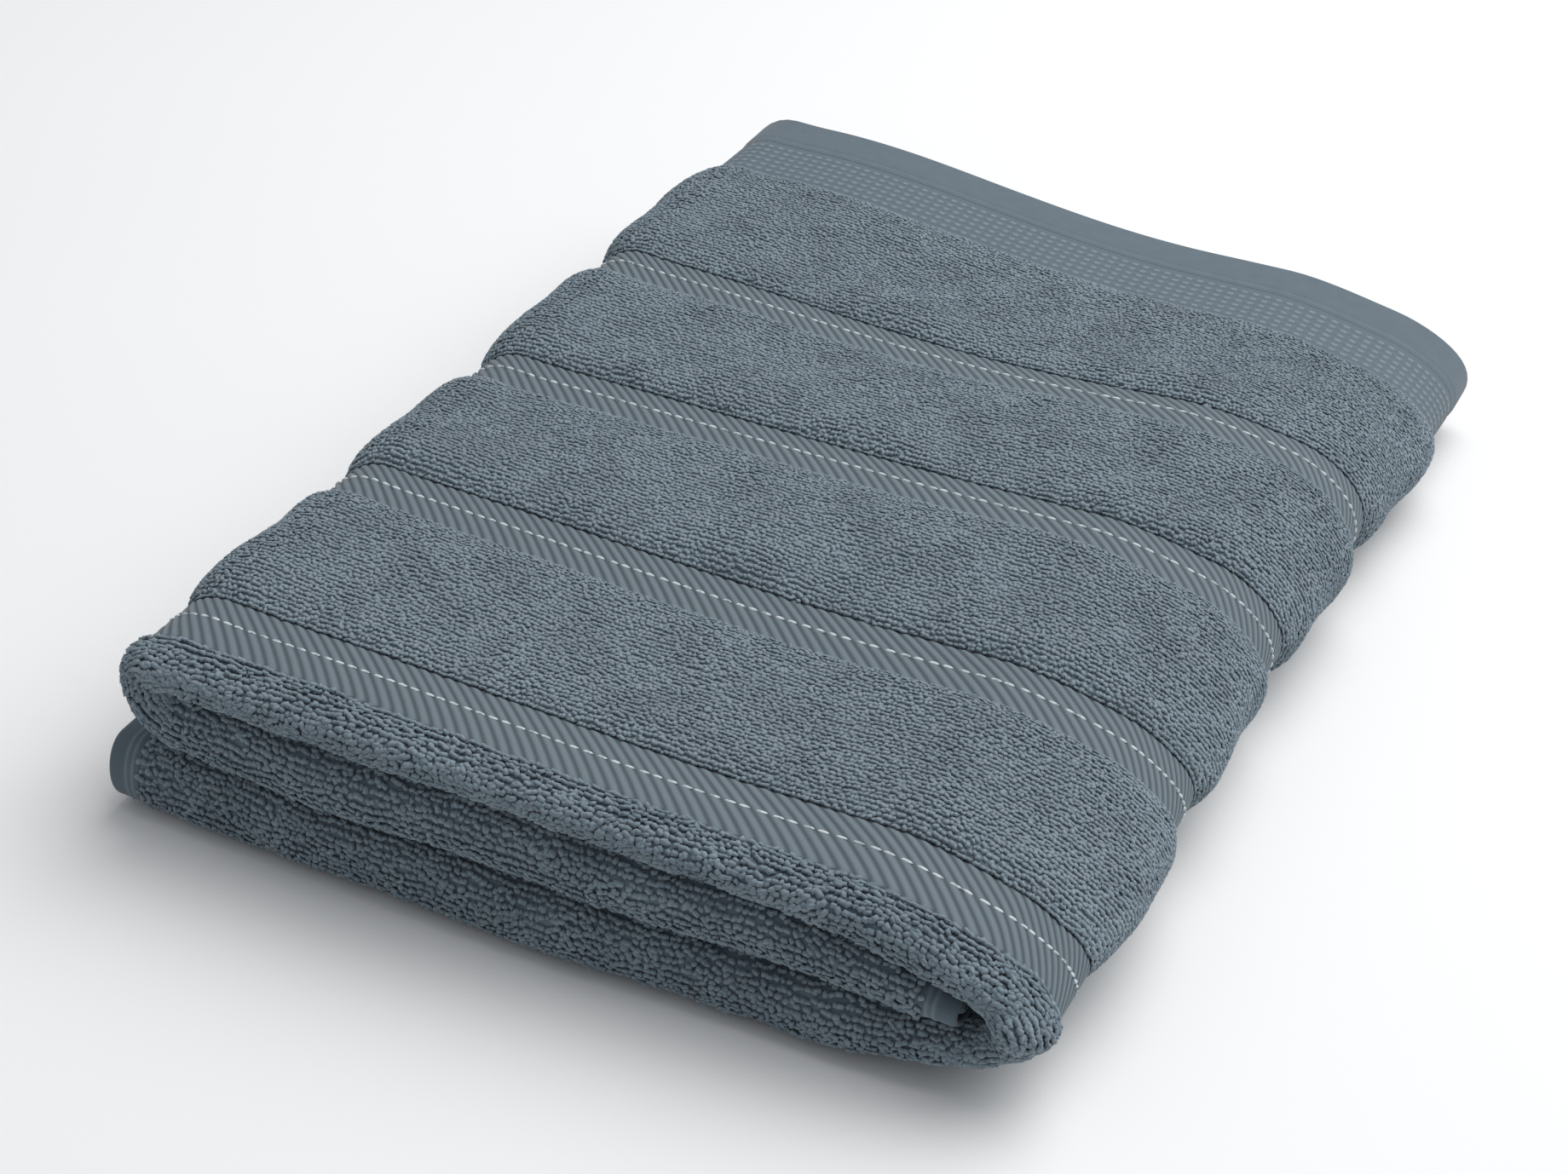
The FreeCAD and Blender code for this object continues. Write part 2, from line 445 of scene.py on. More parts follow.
    def wrap(self, e: Array, y: Array, s: Array) -> Array:
        """Place a point of the pad's section round the folds.

        Straight thirds run along x. In a fold of radius r, x = xc +/- (r - s) sin(a) and
        z = zc +/- (r - s) cos(a), with a = distance / r.

        Args:
            e: distance across the towel on the outer face.
            y: depth in the pack.
            s: distance inwards from the outer face.

        Returns:
            Positions with x, y and z in the last axis.
        """
        lower, turn, top, left_turn, _ = self.e_marks
        r_right, r_left = self.right_radius, self.left_radius
        a_right = (e - lower) / r_right
        a_left = (e - top) / r_left
        zones = [e < lower, e < turn, e < top, e < left_turn]
        x = np.select(zones, [
            self.free_edge + e + 0.0 * s,
            self.right + (r_right - s) * np.sin(a_right),
            self.right - (e - turn) + 0.0 * s,
            self.left - (r_left - s) * np.sin(a_left),
        ], self.left + (e - left_turn) + 0.0 * s)
        z = np.select(zones, [
            s + 0.0 * e,
            r_right - (r_right - s) * np.cos(a_right),
            self.height - s + 0.0 * e,
            self.height - r_left + (r_left - s) * np.cos(a_left),
        ], self.tucked_base + s + 0.0 * e)
        return np.stack([x, y + 0.0 * x, z], axis=-1)

    def exposure(self, e: Array) -> Array:
        """How freely the outer face can swell: 1 on the top and folds, 0 where it is pressed.

        Args:
            e: distance across the towel.

        Returns:
            A share from 0 to 1 for each point.
        """
        lower, turn, _, left_turn, _ = self.e_marks
        last, fade = self.swell_out
        fall = smooth((left_turn - last - e) / fade)
        return np.where(e < turn, ramp(e - lower, self.swell_in), fall)


@dataclass(frozen=True)
class Cloth:
    """The towel: where its woven zones lie, how its fields swell, and where each point goes."""

    pack: Pack
    zones: tuple[tuple[float, float], ...]
    swelling: float = 3.2 * MM
    front_swelling: float = 0.6 * MM
    early: float = 2.5 * MM
    pressed_height: float = 0.6 * MM
    unevenness: float = 0.25

    @classmethod
    def from_frame(cls) -> "Cloth":
        """Find the outer end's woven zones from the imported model.

        Returns:
            The towel.
        """
        pack = Pack.from_frame()
        names = ["outer_border"] + [f"outer_band_{k}" for k in BANDS]
        zones = []
        for name in names:
            low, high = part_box(f"{name}_lower")
            zones.append((pack.outer_end - high.y, pack.outer_end - low.y))
        return cls(pack, tuple(zones))

    @property
    def fields(self) -> list[tuple[float, float]]:
        """First and last q of each field of terry between two woven zones, and the front one.

        Returns:
            A pair of q for each field, from the outer end.
        """
        starts = [zone[1] for zone in self.zones]
        ends = [zone[0] for zone in self.zones[1:]] + [self.pack.q_marks[1]]
        return list(zip(starts, ends))

    def swell(self, q: Array) -> Array:
        """Height that the terry swells by: 1 - |2t - 1|^7 across each field.

        A field between two bands starts to rise a little before it, on the band's edge.

        Args:
            q: distance along the towel.

        Returns:
            The swelling at each point.
        """
        total = np.zeros_like(q)
        last = len(self.fields) - 1
        for number, (start, end) in enumerate(self.fields):
            first = start - (self.early if 0 < number < last else 0.0)
            t = (q - first) / (end - first)
            size = self.front_swelling if number == last else self.swelling
            crown = 1.0 - np.abs(2.0 * np.clip(t, 0.0, 1.0) - 1.0) ** 7
            total = total + size * crown
        return total

    def place(self, e: Array, q: Array, h: Array) -> Array:
        """Position of cloth points: the folded place of each, swollen and settled.

        The height over the cloth grows by the field's swelling, as far as the face is free.

        Args:
            e: distance across the towel.
            q: distance along the towel.
            h: height over the middle of the cloth.

        Returns:
            Positions with x, y and z in the last axis.
        """
        e, q, h = np.broadcast_arrays(
            np.asarray(e, float), np.asarray(q, float), np.asarray(h, float)
        )
        y, s, ny, ns = self.pack.section(q)
        exposed = self.pack.exposure(e)
        free = np.clip(h / self.pressed_height, 0.0, 1.0)
        uneven = 1.0 + self.unevenness * Ripple(0.045, 3).at(e, q)
        rise = h + free * exposed * self.swell(q) * uneven
        points = self.pack.wrap(e, y + ny * rise, s + ns * rise)
        return self.pack.settle.move(points, self.pack)


# ------------------------------------------------------------------ meshes


@dataclass
class MeshData:
    """Vertices, faces and attributes gathered as arrays."""

    vertices: Array
    corners: Array
    sizes: Array
    tone: Array
    weave_uv: Array | None = None
    bake_uv: Array | None = None

    def to_object(self, name: str, sharp: float | None = None) -> bpy.types.Object:
        """Make the mesh object.

        Args:
            name: the piece's name.
            sharp: angle in degrees above which an edge shades as a crease, or None.

        Returns:
            The new object, linked to the scene.
        """
        mesh = bpy.data.meshes.new(name)
        mesh.vertices.add(len(self.vertices))
        mesh.vertices.foreach_set("co", self.vertices.astype(np.float32).ravel())
        mesh.loops.add(len(self.corners))
        mesh.loops.foreach_set("vertex_index", self.corners.astype(np.int32))
        mesh.polygons.add(len(self.sizes))
        starts = np.concatenate([[0], np.cumsum(self.sizes)[:-1]]).astype(np.int32)
        mesh.polygons.foreach_set("loop_start", starts)
        mesh.update(calc_edges=True)
        mesh.validate()
        mesh.polygons.foreach_set("use_smooth", np.ones(len(self.sizes), bool))
        if sharp is not None:
            mesh.set_sharp_from_angle(angle=math.radians(sharp))
        layer = mesh.attributes.new("tone", "FLOAT", "POINT")
        layer.data.foreach_set("value", self.tone.astype(np.float32))
        for label, uv in (("OFBake", self.bake_uv), ("Weave", self.weave_uv)):
            if uv is not None:
                layer = mesh.uv_layers.new(name=label)
                layer.data.foreach_set("uv", uv.astype(np.float32).ravel())
        item = bpy.data.objects.new(name, mesh)
        bpy.context.scene.collection.objects.link(item)
        return item


def ring_quads(index: Array) -> Array:
    """Quads from each row of vertex numbers to the next, closed round the row."""
    following = np.roll(index, -1, axis=1)
    return np.stack(
        [index[:-1], index[1:], following[1:], following[:-1]], axis=-1
    ).reshape(-1, 4)


def swept_loop(
    cloth: Cloth, e: Array, q: Array, h: Array, tone: Array, ladder: bool = False
) -> MeshData:
    """A closed solid from a loop in (q, h) carried along e, with both ends capped.

    Vertex (i, k) lies at cloth point (e[i, k], q[i, k], h[i, k]); row k joins row k + 1 and the
    last row joins the first.

    Args:
        cloth: the towel.
        e: e of every vertex, one row for each step along e.
        q: q of every vertex.
        h: h of every vertex.
        tone: brightness of every vertex.
        ladder: cap the ends with quads between opposite sides, for a long thin loop.

    Returns:
        The mesh's arrays.
    """
    e, q, h = np.broadcast_arrays(e, q, h)
    steps, count = e.shape
    vertices = cloth.place(e, q, h).reshape(-1, 3)
    index = np.arange(steps * count).reshape(steps, count)
    quads = ring_quads(index)
    sizes = [np.full(len(quads), 4)]
    corners = [quads.ravel()]
    if ladder:
        half = count // 2
        near = np.arange(half - 1)
        far = count - 1 - near
        for row, flip in ((index[0], False), (index[-1], True)):
            cap = np.stack([row[near], row[near + 1], row[far - 1], row[far]], axis=-1)
            cap = cap[:, ::-1] if flip else cap
            corners.append(cap.ravel())
            sizes.append(np.full(len(cap), 4))
    else:
        corners += [index[0], index[-1][::-1]]
        sizes.append(np.array([count, count]))
    flat = np.concatenate(corners)
    uv = np.stack([e.ravel()[flat], q.ravel()[flat]], axis=-1)
    values = np.broadcast_to(tone, e.shape).ravel()
    return MeshData(vertices, flat, np.concatenate(sizes), values, uv)


# ------------------------------------------------------------------ shader tools


class Value:
    """A number in a material's node tree, with arithmetic that adds Math nodes."""

    def __init__(self, tree: "Tree", socket: bpy.types.NodeSocket) -> None:
        """Wrap a socket of a tree."""
        self.tree = tree
        self.socket = socket

    def _math(self, operation: str, *others: "Value | float") -> "Value":
        """Add one Math node with this value first."""
        inputs = {number + 1: other for number, other in enumerate(others)}
        return self.tree.add("ShaderNodeMath", {"operation": operation}, {0: self, **inputs})

    def __add__(self, other: "Value | float") -> "Value":
        """Sum."""
        return self._math("ADD", other)

    __radd__ = __add__

    def __mul__(self, other: "Value | float") -> "Value":
        """Product."""
        return self._math("MULTIPLY", other)

    __rmul__ = __mul__

    def sine(self) -> "Value":
        """Sine of this value."""
        return self._math("SINE")

    def ramp(self, low: float, high: float) -> "Value":
        """0 below low, 1 above high, smooth between."""
        return self.tree.add(
            "ShaderNodeMapRange", {"interpolation_type": "SMOOTHSTEP"},
            {0: self, 1: low, 2: high},
        )


class Tree:
    """The node tree of one material."""

    def __init__(self, name: str) -> None:
        """Start an empty material with that name.

        Args:
            name: the material's name.
        """
        self.material = bpy.data.materials.new(name)
        self.material.use_nodes = True
        self.nodes = self.material.node_tree.nodes
        self.links = self.material.node_tree.links
        self.nodes.clear()

    def add(
        self, kind: str, settings: dict | None = None, inputs: dict | None = None,
        output: int | str = 0,
    ) -> Value:
        """Add one node.

        Args:
            kind: the node's type.
            settings: properties to set first.
            inputs: socket name or number, and the value or link for it.
            output: which output to return.

        Returns:
            The chosen output.
        """
        node = self.nodes.new(kind)
        for key, value in (settings or {}).items():
            setattr(node, key, value)
        for key, value in (inputs or {}).items():
            socket = node.inputs[key]
            if isinstance(value, Value):
                self.links.new(value.socket, socket)
            else:
                socket.default_value = value
        return Value(self, node.outputs[output])

    def mix(self, factor: Value | float, first: object, second: object) -> Value:
        """Colour between first and second."""
        settings = {"data_type": "RGBA"}
        return self.add("ShaderNodeMix", settings, {0: factor, 6: first, 7: second}, 2)

    def attribute(self, name: str) -> Value:
        """A number stored on the mesh."""
        return self.add("ShaderNodeAttribute", {"attribute_name": name}, None, "Fac")

    def uv(self) -> tuple[Value, Value]:
        """The two cloth coordinates, in metres.

        Returns:
            The distance across the towel and the distance along it.
        """
        vector = self.add("ShaderNodeUVMap", {"uv_map": "Weave"})
        parts = self.nodes.new("ShaderNodeSeparateXYZ")
        self.links.new(vector.socket, parts.inputs[0])
        return Value(self, parts.outputs[0]), Value(self, parts.outputs[1])

    def threads(self, place: Value, pitch: float) -> Value:
        """Evenly spaced threads: 0.5 + 0.5 sin(2 pi x place / pitch)."""
        return (place * (2.0 * math.pi / pitch)).sine() * 0.5 + 0.5

    def noise(self, scale: float, detail: float = 3.0) -> Value:
        """Noise on Object coordinates."""
        place = self.add("ShaderNodeTexCoord", None, None, "Object")
        return self.add(
            "ShaderNodeTexNoise", None, {"Vector": place, "Scale": scale, "Detail": detail}
        )

    def finish(self, colour: Value, height: Value | None, strength: float, **fixed: object) -> None:
        """Join the colour and a bump to the surface shader, and set its constants.

        Args:
            colour: base colour.
            height: height of the bump, or None.
            strength: how strongly the bump shows.
            fixed: the shader's constants, by socket name with underscores.
        """
        shader = self.nodes.new("ShaderNodeBsdfPrincipled")
        output = self.nodes.new("ShaderNodeOutputMaterial")
        self.links.new(colour.socket, shader.inputs["Base Color"])
        if height is not None:
            normal = self.add(
                "ShaderNodeBump", None,
                {"Height": height, "Strength": strength, "Distance": BUMP_DEPTH},
            )
            self.links.new(normal.socket, shader.inputs["Normal"])
        for key, value in fixed.items():
            shader.inputs[key.replace("_", " ")].default_value = value
        self.links.new(shader.outputs[0], output.inputs[0])


Colour = tuple[float, float, float, float]


def srgb(red: int, green: int, blue: int) -> Colour:
    """Linear colour from screen values of 0 to 255."""
    parts = [((c / 255.0 + 0.055) / 1.055) ** 2.4 for c in (red, green, blue)]
    return parts[0], parts[1], parts[2], 1.0


@dataclass(frozen=True)
class TerryFinish:
    """Looped cotton yarn, with painted shade between the loops and a painted highlight on their
    crests.
    """

    # Dark shows as painted shade at the loops' feet and on the front roll, light as a painted
    # highlight on the crests.
    dark: Colour = srgb(96, 111, 122)
    light: Colour = srgb(122, 138, 148)

    def material(self) -> bpy.types.Material:
        """Build the material from the tone attribute's painted shade and highlight, and two scales of
        mottling.

        Returns:
            The material.
        """
        tree = Tree("terry_cotton")
        tone = tree.attribute("tone")
        broad = tree.noise(62.0, 3.0).ramp(0.34, 0.64)
        fine = tree.noise(900.0, 2.0)
        # Painted shade and highlight: the tone darkens the loops' feet and the front roll and
        # lightens the crests.
        level = (tone * 0.6 + 0.23) * (0.72 + broad * 0.46) * (0.9 + fine * 0.2)
        colour = tree.mix(level.ramp(0.0, 1.0), self.dark, self.light)
        tree.finish(
            colour, tree.noise(2600.0, 2.0), 0.2,
            Roughness=0.95, Specular_IOR_Level=0.15, Sheen_Weight=0.25, Sheen_Roughness=0.6,
        )
        return tree.material


@dataclass(frozen=True)
class HerringboneFinish:
    """Smooth mercerised ribs with a fine cross thread."""

    # Painted shade: the dark colour shows in the grooves and in the painted shadow along the back
    # edge.
    dark: Colour = srgb(26, 36, 43)
    light: Colour = srgb(104, 117, 125)
    thread_pitch: float = 0.42 * MM

    def material(self) -> bpy.types.Material:
        """Build the material: colour by rib height, with painted shade in the grooves and a painted
        shadow at the back edge, and fine threads across the ribs.

        Returns:
            The material.
        """
        tree = Tree("herringbone_cotton")
        tone = tree.attribute("tone")
        _, along = tree.uv()
        threads = tree.threads(along, self.thread_pitch)
        mottle = tree.noise(300.0, 2.0)
        level = tone * (0.86 + 0.14 * threads) * (0.85 + mottle * 0.3)
        colour = tree.mix(level.ramp(-0.7, 0.9), self.dark, self.light)
        tree.finish(
            colour, threads, 0.35,
            Roughness=0.7, Specular_IOR_Level=0.3, Sheen_Weight=0.15, Sheen_Roughness=0.5,
        )
        return tree.material


@dataclass(frozen=True)
class BorderFinish:
    """Flat weave with soft rows of pale floats."""

    base: Colour = srgb(88, 101, 110)
    pale: Colour = srgb(116, 128, 136)
    float_pitch: float = 3.4 * MM
    thread_pitch: float = 0.5 * MM

    def material(self) -> bpy.types.Material:
        """Build the material: a pale float shows where the row is high and the pitch allows.

        Returns:
            The material.
        """
        tree = Tree("border_cotton")
        tone = tree.attribute("tone")
        across, along = tree.uv()
        dash = tree.threads(across, self.float_pitch)
        rows = tone.ramp(0.55, 0.95)
        threads = tree.threads(along, self.thread_pitch)
        mottle = tree.noise(260.0, 2.0)
        amount = rows * dash.ramp(0.25, 0.75) * (0.7 + 0.6 * mottle)
        colour = tree.mix(amount, self.base, self.pale)
        tree.finish(
            colour, threads, 0.25,
            Roughness=0.75, Specular_IOR_Level=0.25, Sheen_Weight=0.15, Sheen_Roughness=0.5,
        )
        return tree.material


@dataclass(frozen=True)
class HemFinish:
    """Plain weave, with its fine grid of threads and a paler line of stitches."""

    base: Colour = srgb(80, 93, 102)
    pale: Colour = srgb(112, 125, 133)
    thread_pitch: float = 0.6 * MM

    def material(self) -> bpy.types.Material:
        """Build the material: a fine grid of threads, paler where the tone says stitching.

        Returns:
            The material.
        """
        tree = Tree("plain_hem_cotton")
        tone = tree.attribute("tone")
        across, along = tree.uv()
        rate = 2.0 * math.pi / self.thread_pitch
        grid = (across * rate).sine() * (along * rate).sine() * 0.5 + 0.5
        mottle = tree.noise(220.0, 3.0)
        level = tone * (0.8 + 0.4 * mottle) * (0.92 + 0.16 * grid)
        colour = tree.mix(level.ramp(0.2, 1.2), self.base, self.pale)
        tree.finish(
            colour, grid, 0.3,
            Roughness=0.8, Specular_IOR_Level=0.2, Sheen_Weight=0.15, Sheen_Roughness=0.5,
        )
        return tree.material


@dataclass(frozen=True)
class ThreadFinish:
    """The pale accent thread."""

    dark: Colour = srgb(122, 132, 138)
    light: Colour = srgb(196, 204, 207)

    def material(self) -> bpy.types.Material:
        """Build the material: pale, with a little shade from float to float.

        Returns:
            The material.
        """
        tree = Tree("accent_thread_cotton")
        level = tree.noise(700.0, 2.0).ramp(0.2, 0.6)
        colour = tree.mix(level, self.dark, self.light)
        tree.finish(
            colour, tree.noise(3000.0, 1.0), 0.3,
            Roughness=0.6, Specular_IOR_Level=0.3, Sheen_Weight=0.1, Sheen_Roughness=0.5,
        )
        return tree.material


# ------------------------------------------------------------------ attaching


@dataclass
class Fitter:
    """Dresses a piece, joins it to its body and hides the nodes that it stands for."""

    pack: Pack
    blend_start: float = 2.4 * MM
    blend_end: float = 12.6 * MM

    def fit(
        self, piece: bpy.types.Object, segment: Segment, material: bpy.types.Material,
        slot: str, nodes: list[str],
    ) -> bpy.types.Object:
        """Finish one piece; one on the wide fold keeps its place without a body.

        Args:
            piece: the new mesh object.
            segment: the stretch of the width that it belongs to.
            material: its finish.
            slot: not used.
            nodes: the nodes that it stands for.

        Returns:
            The same piece.
        """
        piece.data.materials.append(material)
        if segment is Segment.LOWER:
            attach(piece, "lower_third")
        elif segment is Segment.UPPER:
            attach(piece, "upper_fold")
        else:
            start = (self.pack.right, 0.0, self.pack.pad + self.blend_start)
            end = (self.pack.right, 0.0, self.pack.pad + self.blend_end)
            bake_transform(piece)
        if nodes:
            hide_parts(*nodes)
        return piece


# ------------------------------------------------------------------ terry and its pile


@dataclass(frozen=True)
class Patch:
    """A stretch of one face that carries pile; order is 1 where its rows stay straight, and it also
    darkens the loops as painted shade.
    """

    e_start: float
    e_end: float
    q_start: float
    q_end: float
    style: LoopStyle
    row_pitch: float
    spacing: float
    height: float
    turn: float
    order: float = 0.0


@dataclass(frozen=True)
class Loops:
    """One loop of pile and how loops are strewn."""

    length_share: float = 0.6
    radius_share: float = 0.53
    face: float = 1.2 * MM
    probe: float = 0.05 * MM

    def template(self, style: LoopStyle) -> tuple[Array, list[list[int]], Array]:
        """Unit loop: an arch of yarn from foot to foot, with height 1.

        Args:
            style: how finely it is made.

        Returns:
            Vertices as (along, across, up share), faces, and the tone of each vertex: painted shade
            at the feet and a painted highlight at the crest.
        """
        # The tone is painted shade and highlight: low at the loop's feet, high on its crest.
        if style is LoopStyle.LOW:
            points = np.array([
                [-0.9, 0.0, 0.0], [0.0, -0.8, 0.55], [0.2, 0.0, 0.15],
                [0.0, 0.8, 0.55], [0.1, 0.0, 1.0], [0.9, 0.0, 0.0],
            ])
            ring = [1, 2, 3, 4]
            faces = [[0, ring[k], ring[(k + 1) % 4]][::-1] for k in range(4)]
            faces += [[5, ring[k], ring[(k + 1) % 4]] for k in range(4)]
            return points, faces, np.array([0.2, 0.6, 0.4, 0.6, 1.0, 0.2])
        points = np.array([
            [-0.75, 0.0, -0.1],
            [-0.75, -0.8, 0.55], [-0.25, 0.0, 0.3], [-0.75, 0.8, 0.55], [-1.1, 0.0, 0.85],
            [0.75, -0.8, 0.6], [0.25, 0.0, 0.35], [0.75, 0.8, 0.6], [1.0, 0.0, 0.95],
            [0.75, 0.0, -0.1],
        ])
        faces = [[0, 1 + k, 1 + (k + 1) % 4][::-1] for k in range(4)]
        faces += [[1 + k, 5 + k, 5 + (k + 1) % 4, 1 + (k + 1) % 4][::-1] for k in range(4)]
        faces += [[9, 5 + k, 5 + (k + 1) % 4] for k in range(4)]
        tone = np.array([0.1, 0.6, 0.4, 0.6, 0.95, 0.65, 0.45, 0.65, 1.0, 0.1])
        return points, faces, tone

    def rows(self, cloth: Cloth, patch: Patch) -> Array:
        """q of each row, one pitch apart along the face itself, on its swellings and turns.

        Args:
            cloth: the towel.
            patch: where the rows stand.

        Returns:
            q of every row, rising.
        """
        q = np.linspace(patch.q_start, patch.q_end, 600)
        line = cloth.place(0.5 * (patch.e_start + patch.e_end), q, self.face)
        steps = np.linalg.norm(np.diff(line, axis=0), axis=1)
        travel = np.concatenate([[0.0], np.cumsum(steps)])
        half = patch.row_pitch / 2.0
        return np.interp(steps_between(half, travel[-1] - half, patch.row_pitch), travel, q)

    def strew(self, cloth: Cloth, patch: Patch, ground: float, seed: int) -> MeshData:
        """Set loops in rows over a patch, each turned, leaned and sized a little differently.

        A loop's vertex is base + along x T + across x B + up x N, where T and B are the cloth's
        own directions turned by the loop's angle, and N is its normal with a lean.

        Args:
            cloth: the towel.
            patch: where the loops stand.
            ground: height of the ground weave over the middle of the cloth.
            seed: seed of the random draws.

        Returns:
            The loops as one set of arrays.
        """
        draw = np.random.default_rng(seed)
        rows = self.rows(cloth, patch)
        columns = steps_between(
            patch.e_start + patch.spacing / 2, patch.e_end - patch.spacing / 2, patch.spacing
        )
        q, e = np.meshgrid(rows, columns, indexing="ij")
        loose = 1.0 - 0.6 * patch.order
        offset = draw.uniform(-0.5, 0.5, (len(rows), 1)) * patch.spacing
        e = e + offset + draw.normal(0.0, 0.16, e.shape) * patch.spacing
        q = q + 0.6 * patch.order * patch.row_pitch * Ripple(0.012, 51).at(e, q)
        q = (q + draw.normal(0.0, 0.13 * loose, q.shape) * patch.row_pitch).ravel()
        e = np.clip(e.ravel(), patch.e_start, patch.e_end)
        count = len(e)
        base = cloth.place(e, q, ground)
        t_e = cloth.place(e + self.probe, q, ground) - base
        t_q = cloth.place(e, q + self.probe, ground) - base
        t_e /= np.linalg.norm(t_e, axis=1, keepdims=True)
        t_q /= np.linalg.norm(t_q, axis=1, keepdims=True)
        normal = np.cross(t_e, t_q)
        normal /= np.linalg.norm(normal, axis=1, keepdims=True)
        patches = Ripple(0.016, 31).at(e, q)
        swirl = Ripple(0.03, 41).at(e, q)
        angle = draw.normal(0.0, patch.turn, count) + 0.35 * loose * swirl
        size = draw.uniform(0.85, 1.18, count)
        lean_e = draw.normal(0.0, 0.22, count) + 0.2 * swirl
        lean_q = draw.normal(0.0, 0.25 * loose, count) + 0.3 * loose * patches
        height = patch.height * draw.uniform(0.8, 1.2, count) * (1.0 + 0.12 * patches)
        points, faces, tone = self.template(patch.style)
        along = points[None, :, 0] * (self.length_share * patch.spacing * size)[:, None]
        girth = self.radius_share * (1.0 - 0.18 * patch.order) * patch.row_pitch
        across = points[None, :, 1] * (girth * size)[:, None]
        up = points[None, :, 2] * height[:, None]
        cosine, sine = np.cos(angle)[:, None], np.sin(angle)[:, None]
        a = along * cosine - across * sine + lean_e[:, None] * up
        b = along * sine + across * cosine + lean_q[:, None] * up
        vertices = (
            base[:, None, :] + a[..., None] * t_e[:, None, :] + b[..., None] * t_q[:, None, :]
            + up[..., None] * normal[:, None, :]
        )
        sizes = np.array([len(face) for face in faces])
        flat = np.concatenate([np.array(face) for face in faces])
        corners = flat[None, :] + (np.arange(count) * len(points))[:, None]
        # Painted shade: the template's tone is dark at the feet and pale on the crests, and the front
        # roll, whose order is above 0, is made darker still; the patches add random mottling.
        shade = np.clip(
            tone[None, :] * (1.0 - 0.5 * patch.order) * draw.uniform(0.72, 1.1, count)[:, None]
            + 0.10 * patches[:, None], 0.0, 1.0,
        )
        face_number = np.repeat(np.arange(len(faces)), sizes)
        spot = np.stack([
            (face_number % 4) / 4.0 + 0.2 * ((flat * 7) % 3) / 3.0,
            (face_number // 4) / 3.0 + 0.28 * ((flat * 5) % 4) / 4.0,
        ], axis=-1)
        cell = np.array([patch.spacing, patch.row_pitch]) * 0.9
        uv = np.stack([e, q], axis=-1)[:, None, :] + spot[None, :, :] * cell
        return MeshData(
            vertices.reshape(-1, 3), corners.ravel(), np.tile(sizes, count),
            shade.ravel(), None, uv.reshape(-1, 2),
        )


def joined(parts: list[MeshData]) -> MeshData:
    """Join sets of loops into one, and bring their bake map into the unit square.

    Args:
        parts: the sets, each with its own bake map.

    Returns:
        One set of arrays.
    """
    shifts = np.cumsum([0] + [len(part.vertices) for part in parts[:-1]])
    uv = np.concatenate([part.bake_uv for part in parts])
    low, high = uv.min(axis=0), uv.max(axis=0)
    return MeshData(
        np.concatenate([part.vertices for part in parts]),
        np.concatenate([part.corners + shift for part, shift in zip(parts, shifts)]),
        np.concatenate([part.sizes for part in parts]),
        np.concatenate([part.tone for part in parts]),
        None,
        0.002 + 0.996 * (uv - low) / (high - low),
    )


